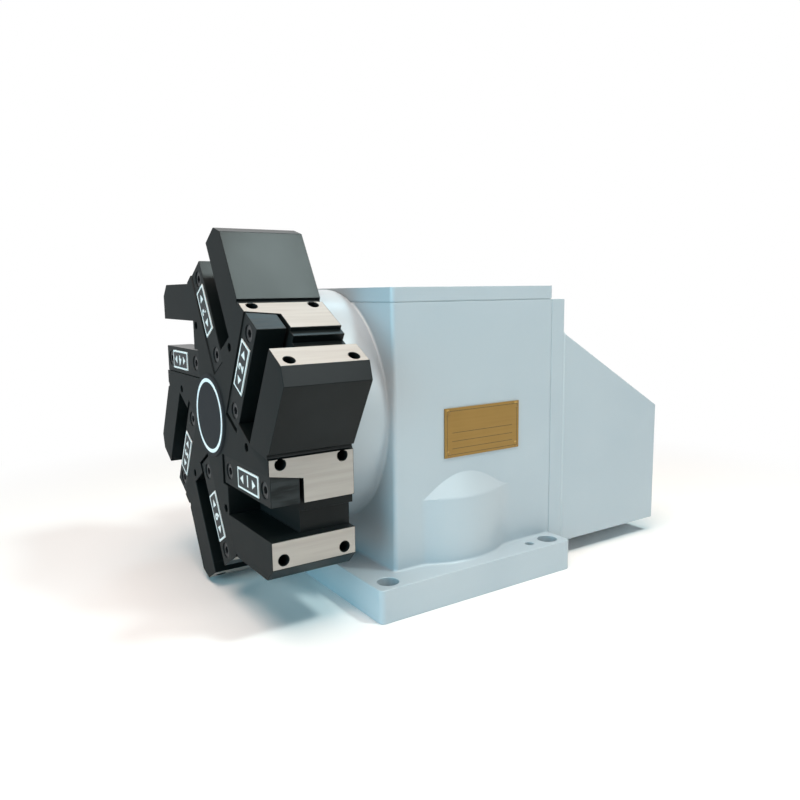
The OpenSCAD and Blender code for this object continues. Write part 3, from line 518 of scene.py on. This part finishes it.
# %% [markdown]
# ## Tool disc
# The disc is milled steel, blackened all over, and then ground on its six station faces, where the
# tool blocks bolt on. The grinding lines run along the axis as the wheel ran. The milled flanks
# carry a sheen and the turned front is duller, so the front's mark adds to the roughness. Black
# oxide throws back little light, so the shader's specular level is low for all of the disc.

# %% Tool disc
OXIDE, OXIDE_GREY = (0.004, 0.0062, 0.0064, 1), (0.012, 0.016, 0.0165, 1)
BARE, BARE_WARM = (0.43, 0.395, 0.36, 1), (0.36, 0.326, 0.292, 1)
GRIND, GRIND_RUN, GRIND_BAND, GRIND_SHARE = 300, (0.05, 1, 1), (0.3, 0.7), 0.6
CUTTER, CUTTER_RUN, TOOL_DEPTH, DISC_FORCE = 260, (1, 0.12, 0.12), 0.05 * MM, 0.35
CLOUD, CLOUD_BAND, CLOUD_SHARE = 18, (0.4, 0.75), 0.4
RUB, RUB_R, RUBBED, RUB_SHARE = 120, 0.7 * MM, (0.07, 0.2), 0.6
DISC_ROUGH, CLOUD_ROUGH, GROUND_ROUGH, TURNED_ROUGH = 0.25, 0.1, 0.16, 0.34
GROUND_METAL = 0.35


def tool_disc(w):
    ground, turned_front = face_mark(w, "ground"), face_mark(w, "turned")
    lines, cutter = noise(w, GRIND, CRISP, GRIND_RUN), noise(w, CUTTER, SOFT, CUTTER_RUN)
    cloud = noise(w, CLOUD, RICH)
    worn = ramp(w, edge_wear(w, RUB_R) * noise(w, RUB, CRISP), *RUBBED)
    greyed = CLOUD_SHARE * ramp(w, cloud, *CLOUD_BAND) + RUB_SHARE * worn
    black = blend_colour(w, greyed, OXIDE, OXIDE_GREY)
    steel = blend_colour(w, GRIND_SHARE * ramp(w, lines, *GRIND_BAND), BARE, BARE_WARM)
    rough = DISC_ROUGH + CLOUD_ROUGH * cloud + GROUND_ROUGH * ground
    return {"Base Color": blend_colour(w, ground, black, steel),
            "Metallic": GROUND_METAL * ground,
            "Roughness": rough + TURNED_ROUGH * turned_front,
            "Normal": bump(w, lines * ground + cutter * (1 - ground), TOOL_DEPTH, DISC_FORCE)}


dress(finish("blackened_disc", tool_disc, specular_ior_level=0.15), "tool_disc")

# %% [markdown]
# ## Wedge clamps
# A wedge is blackened bar, milled along its length and sawn and faced at the rim, where the
# cutter's lines show grey. The same marks as on the disc tell the faced end and the front.

# %% Wedges
FACED_GREY = (0.028, 0.033, 0.034, 1)
SAW, SAW_RUN, SAW_BAND, SAW_FORCE = 190, (0.15, 1, 1), (0.35, 0.65), 0.4
FACED_LEAST, FACED_RANGE, HAZE, HAZE_SHARE = 0.1, 0.9, 40, 0.15
WEDGE_ROUGH, HAZE_ROUGH, SAW_ROUGH, FRONT_ROUGH = 0.24, 0.12, 0.14, 0.3


def wedge_black(w):
    faced, turned_front = face_mark(w, "ground"), face_mark(w, "turned")
    lines, haze = noise(w, SAW, CRISP, SAW_RUN), noise(w, HAZE, CRISP)
    streaks = ramp(w, lines, *SAW_BAND)
    greyed = faced * (FACED_LEAST + FACED_RANGE * streaks) + HAZE_SHARE * haze
    rough = WEDGE_ROUGH + HAZE_ROUGH * haze + SAW_ROUGH * faced * streaks
    return {"Base Color": blend_colour(w, greyed, OXIDE, FACED_GREY),
            "Roughness": rough + FRONT_ROUGH * turned_front,
            "Normal": bump(w, lines, TOOL_DEPTH, SAW_FORCE)}


dress(finish("blackened_wedge", wedge_black, specular_ior_level=0.16),
      *[f"wedge_{k}" for k in STATIONS])

# %% [markdown]
# ## Screws
# All screws are blackened too, a little glossier from oil and a little greyer round the rim of the
# head and of the socket, where the key rubs.

# %% Screws
SCREW, SCREW_GREY = (0.008, 0.009, 0.010, 1), (0.05, 0.052, 0.055, 1)
OIL, OIL_SHARE, OIL_ROUGH, OIL_DEPTH, OIL_FORCE = 150, 0.6, 0.2, 0.03 * MM, 0.4
HEAD_R, HEAD_WORN, HEAD_SHARE, HEAD_METAL = 0.4 * MM, (0.05, 0.3), 0.4, 0.2
SCREW_METAL, SCREW_ROUGH = 0.3, 0.28
SCREW_SETS = ("top_cover", "rear_plate", "motor_cover", "fixed_ring", "disc_ring", "motor")


def screw_black(w):
    oil = noise(w, OIL, CRISP)
    worn = ramp(w, edge_wear(w, HEAD_R), *HEAD_WORN)
    return {"Base Color": blend_colour(w, OIL_SHARE * oil + HEAD_SHARE * worn, SCREW, SCREW_GREY),
            "Metallic": SCREW_METAL + HEAD_METAL * worn,
            "Roughness": SCREW_ROUGH + OIL_ROUGH * oil,
            "Normal": bump(w, oil, OIL_DEPTH, OIL_FORCE)}


dress(finish("oiled_screws", screw_black, specular_ior_level=0.25), "disc_bolts",
      *[f"{name}_screws" for name in SCREW_SETS], *[f"wedge_screws_{k}" for k in STATIONS])

# %% [markdown]
# ## Hub cap
# A satin black cap closes the middle of the disc, with one white ring painted on it. The ring is a
# band of distances from the axis, on the face that looks forward.

# %% Hub cap
RING_R, RING_HALF, CAP_FACE = 30.6 * MM, 1.6 * MM, -189.9 * MM
SATIN, SATIN_GREY = (0.009, 0.010, 0.012, 1), (0.02, 0.022, 0.025, 1)
RING_WHITE = (0.78, 0.79, 0.79, 1)
SPRAY, CAP_ROUGH, SPRAY_ROUGH, SPRAY_DEPTH, SPRAY_FORCE = 220, 0.6, 0.15, 0.04 * MM, 0.4


def hub_cap(w):
    x, y, z = split(w, spot(w))
    ring = (abs(distance(y, z - AXIS_Z) - RING_R) < RING_HALF) * (x < CAP_FACE)
    spray = noise(w, SPRAY, CRISP)
    satin = blend_colour(w, spray, SATIN, SATIN_GREY)
    return {"Base Color": blend_colour(w, ring, satin, RING_WHITE),
            "Roughness": CAP_ROUGH + SPRAY_ROUGH * spray,
            "Normal": bump(w, spray, SPRAY_DEPTH, SPRAY_FORCE)}


dress(finish("satin_hub", hub_cap, specular_ior_level=0.12), "hub_cap")

# %% [markdown]
# ## Nameplate
# A plate of thin brushed brass is riveted to the near wall. It has an etched border and empty
# rules, as a plate has before it is stamped. Border and rules are bands of X and Z, darkened and
# sunk a little.

# %% Etching of the nameplate
PLATE_X, PLATE_Z, PLATE_HALF_X, PLATE_HALF_Z = 19.5 * MM, 141.5 * MM, 42.5 * MM, 21.75 * MM
ETCH, BORDER, RULE_END, RULE_DROPS = 0.35 * MM, 2.4 * MM, 8 * MM, (0, 7.5 * MM, 14 * MM)


def etching(w):
    """1 on the lines of the border and on the rules."""
    x, _, z = split(w, spot(w))
    side, height = abs(x - PLATE_X), abs(z - PLATE_Z)
    out_x, out_z = PLATE_HALF_X - BORDER, PLATE_HALF_Z - BORDER
    inside = (side < out_x) * (height < out_z)
    border = inside * (1 - (side < out_x - ETCH) * (height < out_z - ETCH))
    rules = sum(abs(z - PLATE_Z + drop) < ETCH / 2 for drop in RULE_DROPS)
    return border + rules * (side < PLATE_HALF_X - RULE_END)


print("rules", len(RULE_DROPS))

# %% Brass of the nameplate
BRASS, BRASS_DULL = (0.345, 0.208, 0.055, 1), (0.25, 0.143, 0.033, 1)
ETCHED = (0.03, 0.021, 0.011, 1)
BRUSH, BRUSH_RUN, BRUSH_SHARE, BRUSH_RISE = 500, (0.03, 1, 1), 0.5, 0.4
PATINA, PATINA_SHARE, PATINA_ROUGH = 30, 0.5, 0.2
BRASS_METAL, BRASS_ROUGH, ETCH_DULL, ETCH_ROUGH = 0.55, 0.36, 0.4, 0.2
ETCH_DEPTH, ETCH_FORCE = 0.05 * MM, 0.6


def nameplate(w):
    etched = etching(w)
    brushed, patina = noise(w, BRUSH, CRISP, BRUSH_RUN), noise(w, PATINA, RICH)
    dulled = BRUSH_SHARE * brushed + PATINA_SHARE * patina
    brass = blend_colour(w, dulled, BRASS, BRASS_DULL)
    return {"Base Color": blend_colour(w, etched, brass, ETCHED),
            "Metallic": BRASS_METAL - ETCH_DULL * etched,
            "Roughness": BRASS_ROUGH + PATINA_ROUGH * patina + ETCH_ROUGH * etched,
            "Normal": bump(w, BRUSH_RISE * brushed - etched, ETCH_DEPTH, ETCH_FORCE)}


dress(finish("etched_brass", nameplate), "nameplate", "nameplate_rivets")

# %% [markdown]
# ## Pieces inside
# The coupling, the spindle, the gears and the motor are seen only when the covers come off, and
# they are finished all the same: ground steel with lines round the axis, turned bronze, cast motor
# paint, moulded rubber and plastic. Two recipes with other tones and grains make all five.

# %% Inner recipes
LATHE, LATHE_RUN, LATHE_SHARE, LATHE_DEPTH = 420, (1, 0.08, 0.08), 0.6, 0.03 * MM
STAIN, STAIN_SHARE, STAIN_ROUGH = 35, 0.3, 0.15
GRAIN_ROUGH, GRAIN_DEPTH, INNER_FORCE = 0.2, 0.05 * MM, 0.5


def lathe_turned(first, second, rough):
    def recipe(w):
        lines, stain = noise(w, LATHE, SOFT, LATHE_RUN), noise(w, STAIN, CRISP)
        dulled = LATHE_SHARE * lines + STAIN_SHARE * stain
        return {"Base Color": blend_colour(w, dulled, first, second),
                "Roughness": rough + STAIN_ROUGH * stain,
                "Normal": bump(w, lines, LATHE_DEPTH, INNER_FORCE)}
    return recipe


def moulded(first, second, rough, scale):
    def recipe(w):
        grain = noise(w, scale, CRISP)
        return {"Base Color": blend_colour(w, grain, first, second),
                "Roughness": rough + GRAIN_ROUGH * grain,
                "Normal": bump(w, grain, GRAIN_DEPTH, INNER_FORCE)}
    return recipe


print("lathe lines", LATHE)

# %% Inner finishes
steel = lathe_turned((0.56, 0.56, 0.57, 1), (0.40, 0.40, 0.41, 1), rough=0.24)
bronze = lathe_turned((0.55, 0.36, 0.15, 1), (0.42, 0.26, 0.10, 1), rough=0.28)
motor = moulded((0.03, 0.034, 0.039, 1), (0.05, 0.055, 0.06, 1), rough=0.4, scale=300)
rubber = moulded((0.008, 0.008, 0.008, 1), (0.02, 0.02, 0.02, 1), rough=0.55, scale=500)
plastic = moulded((0.01, 0.01, 0.011, 1), (0.022, 0.022, 0.023, 1), rough=0.42, scale=700)
dress(finish("ground_steel", steel, metallic=0.9), "fixed_tooth_ring", "disc_tooth_ring",
      "lock_ring", "lock_ring_pins", "spindle", "spindle_gear", "gear_key", "spindle_nut",
      "motor_shaft", "drive_pinion", "cover_posts", "encoder_disc")
dress(finish("turned_bronze", bronze, metallic=0.9), "front_bush", "rear_bush")
dress(finish("motor_paint", motor), "gear_motor")
dress(finish("seal_rubber", rubber), "spindle_seal")
dress(finish("moulded_black", plastic), "cable_gland", "encoder_sensor")

# %% [markdown]
# ## Station tags
# Each wedge carries a small plate that names its station: a white frame round a dark field with
# the number in white. The plate is a CAD solid. The field is a thin rounded panel laid on it, and
# the number and its two index marks are raised print. All three ride on the wedge.

# %% Finishes of the tags
TAG_WHITE, TAG_GREY = (0.80, 0.80, 0.78, 1), (0.68, 0.68, 0.66, 1)
FIELD_DARK, FIELD_GREY = (0.010, 0.012, 0.014, 1), (0.022, 0.024, 0.026, 1)
SPECK, SPECK_ROUGH, SPECK_DEPTH, SPECK_FORCE = 300, 0.15, 0.03 * MM, 0.4


def printed_tone(first, second, rough):
    def recipe(w):
        speck = noise(w, SPECK, CRISP)
        return {"Base Color": blend_colour(w, speck, first, second),
                "Roughness": rough + SPECK_ROUGH * speck,
                "Normal": bump(w, speck, SPECK_DEPTH, SPECK_FORCE)}
    return recipe


white_plate = finish("printed_white", printed_tone(TAG_WHITE, TAG_GREY, rough=0.4))
dark_field = finish("printed_dark", printed_tone(FIELD_DARK, FIELD_GREY, rough=0.36),
                    specular_ior_level=0.12)
dress(white_plate, *[f"station_tag_{k}" for k in STATIONS])

# %% [markdown]
# ## Outlines on a tag
# Field and index marks are outlines raised to thin prisms, drawn flat round the middle of the tag.
# A plane with a picture of them would be quicker, but its edges wouldn't catch the light.

# %% Outlines
FIELD_L, FIELD_W, FIELD_R, FIELD_T = 38.6 * MM, 13.6 * MM, 1.2 * MM, 0.1 * MM
MARK_HALF, MARK_L, MARK_TIP, PRINT_T = 3.8 * MM, 6.5 * MM, 15.5 * MM, 0.05 * MM
QUARTERS, QUARTER, QUARTER_STEPS = ((1, 1, 0), (-1, 1, 90), (-1, -1, 180), (1, -1, 270)), 90, 6


def prism(mesh, outline, z0, z1):
    low = [mesh.verts.new((x, y, z0)) for x, y in outline]
    high = [mesh.verts.new((x, y, z1)) for x, y in outline]
    mesh.faces.new(high)
    mesh.faces.new(low[::-1])
    for i in range(len(outline)):
        j = (i + 1) % len(outline)
        mesh.faces.new((low[i], low[j], high[j], high[i]))


def rounded(length, width, r):
    outline = []
    for side_x, side_y, start in QUARTERS:
        for i in range(QUARTER_STEPS + 1):
            a = math.radians(start + QUARTER * i / QUARTER_STEPS)
            outline.append((side_x * (length / 2 - r) + r * math.cos(a),
                            side_y * (width / 2 - r) + r * math.sin(a)))
    return outline


def index_marks(mesh):
    """Two arrow heads, one at each end of the field."""
    for side in (-1, 1):
        tip, foot = side * MARK_TIP, side * (MARK_TIP - MARK_L)
        outline = [(tip, 0), (foot, MARK_HALF), (foot, -MARK_HALF)]
        prism(mesh, outline if side > 0 else outline[::-1], FIELD_T, FIELD_T + PRINT_T)


print("field", FIELD_L, FIELD_W)

# %% [markdown]
# ## Numbers
# Blender's own font draws the number. A text object could be kept as it is, but as a mesh it joins
# the index marks in one piece of print.

# %% Numbers
NUMBER_H, NUMBER_FAT = 12.5 * MM, 0.45 * MM


def number_mesh(k):
    curve = bpy.data.curves.new("number", "FONT")
    curve.body, curve.size, curve.offset = str(k), NUMBER_H, NUMBER_FAT
    curve.extrude = PRINT_T / 2
    curve.align_x, curve.align_y = "CENTER", "CENTER"
    writer = place("number", curve)
    bpy.context.view_layer.update()
    drawn = writer.evaluated_get(bpy.context.evaluated_depsgraph_get())
    mesh = bpy.data.meshes.new_from_object(drawn)
    bpy.data.objects.remove(writer)
    return mesh


print("number height", NUMBER_H)

# %% [markdown]
# ## Laying the tags
# One matrix for each station carries the flat print to its wedge. It is written into the mesh, so
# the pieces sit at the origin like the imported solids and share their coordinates.

# %% Laying the tags
DISC_BACK, TAG_TOP, TAG_N, TAG_T = -117.4 * MM, 71.3 * MM, 78.75 * MM, 42.22 * MM


def station_matrix(k):
    """Local x runs outward along the station, y up the label and z towards the viewer."""
    out, along = station_axes(k)
    at = Vector((DISC_BACK - TAG_TOP, 0, AXIS_Z)) + out * TAG_N + along * TAG_T
    axes = Matrix((out, -along, Vector((-1, 0, 0)))).transposed()
    return Matrix.Translation(at) @ axes.to_4x4()


def tag_piece(name, mesh, k, material):
    mesh.transform(station_matrix(k))
    piece = place(name, mesh)
    wear(mesh, material)
    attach(piece, f"wedge_{k}")


for k in STATIONS:
    field = bmesh.new()
    prism(field, rounded(FIELD_L, FIELD_W, FIELD_R), 0, FIELD_T)
    field_mesh = bpy.data.meshes.new(f"tag_field_{k}")
    field.to_mesh(field_mesh)
    tag_piece(f"tag_field_{k}", field_mesh, k, dark_field)

    print_mesh = number_mesh(k)
    printed = bmesh.new()
    printed.from_mesh(print_mesh)
    bmesh.ops.translate(printed, verts=printed.verts[:], vec=(0, 0, FIELD_T + PRINT_T / 2))
    index_marks(printed)
    bmesh.ops.recalc_face_normals(printed, faces=printed.faces[:])
    printed.to_mesh(print_mesh)
    tag_piece(f"tag_print_{k}", print_mesh, k, white_plate)
print("tags", len(STATIONS))

# %% [markdown]
# ## Floor and background
# A plain white sweep, as for a catalogue. Close to the machine it is a matt white floor that takes
# the shadow. Further out it fades to plain white for the camera and for polished faces, so no
# horizon shows.

# %% Floor
FLOOR_SIZE, FLOOR_CELLS, FLOOR_CLOUD, FADE = 8.0, 4, 3, (0.36, 0.75)
FLOOR_WHITE, FLOOR_PALE, PURE = (0.95, 0.95, 0.95, 1), (0.93, 0.93, 0.93, 1), (1, 1, 1, 1)


def looked_at(w):
    """1 for rays from the camera and for rays that a polished or clear face sends out."""
    rays = w.node("ShaderNodeLightPath").socket.node
    camera_ray, glossy, clear = [Wire(w.tree, rays.outputs[f"Is {kind} Ray"])
                                 for kind in ("Camera", "Glossy", "Transmission")]
    return w.math("MAXIMUM", w.math("MAXIMUM", camera_ray, glossy), clear)


def floor_finish():
    material = bpy.data.materials.new("floor_white")
    w = bench(material)
    x, y, _ = split(w, spot(w))
    away = ramp(w, distance(x, y), *FADE)
    tone = blend_colour(w, noise(w, FLOOR_CLOUD, SOFT), FLOOR_WHITE, FLOOR_PALE)
    matt = w.node("ShaderNodeBsdfDiffuse", None, {"Color": tone})
    plain = w.node("ShaderNodeEmission", None, {"Color": PURE})
    mixed = w.node("ShaderNodeMixShader", None, {0: away * looked_at(w), 1: matt, 2: plain})
    w.node("ShaderNodeOutputMaterial", None, {"Surface": mixed})
    return material


sweep = bmesh.new()
bmesh.ops.create_grid(sweep, x_segments=FLOOR_CELLS, y_segments=FLOOR_CELLS, size=FLOOR_SIZE / 2)
floor_mesh = bpy.data.meshes.new("floor")
sweep.to_mesh(floor_mesh)
floor = place("floor", floor_mesh)
wear(floor_mesh, floor_finish())
print("floor", FLOOR_SIZE)

# %% [markdown]
# ## Light
# The light comes mostly from above, as in a workshop with roof lights: one broad warm lamp
# overhead to the left, a weak cool one at the back, and a small one whose reflection lies on the
# upper flank of the disc. A window on the right lights the near wall, and a cool one on the left
# lights the disc and the front wall. The world is plain white to look at but gives only a small
# fill, so the shadows stay.

# %% World
FILL = 0.05
world = bpy.data.worlds.new("studio")
bpy.context.scene.world = world
sky = bench(world)
background = sky.node("ShaderNodeBackground", None,
                      {"Color": PURE, "Strength": FILL + (1 - FILL) * looked_at(sky)})
sky.node("ShaderNodeOutputWorld", None, {"Surface": background})
print("fill", FILL)

# %% Lamps
MIDDLE = Vector((0, 0, 0.15))


def lamp(name, at, size, watts, tint):
    """A round lamp that looks at the middle of the machine."""
    light = bpy.data.lights.new(name, "AREA")
    light.shape, light.size, light.energy, light.color = "DISK", size, watts, tint
    body = place(name, light)
    body.location = at
    body.rotation_mode = "QUATERNION"
    body.rotation_quaternion = (MIDDLE - Vector(at)).to_track_quat("-Z", "Y")
    print(name, watts)


lamp("overhead", (-0.35, -0.25, 1.85), size=1.6, watts=35, tint=(1, 0.8, 0.7))
lamp("roof_back", (0.53, 0.66, 1.62), size=0.5, watts=3, tint=(0.5, 0.85, 1))
lamp("flank_sheen", (0.54, -0.80, 1.66), size=0.3, watts=13, tint=(0.82, 1, 0.99))
lamp("window", (0.75, -1.9, 1.0), size=0.5, watts=6, tint=(0.88, 0.98, 1))
lamp("disc_side", (-1.6, -0.4, 0.35), size=1.5, watts=25, tint=(0.42, 0.84, 1))
bpy.context.scene.view_settings.view_transform = "Standard"
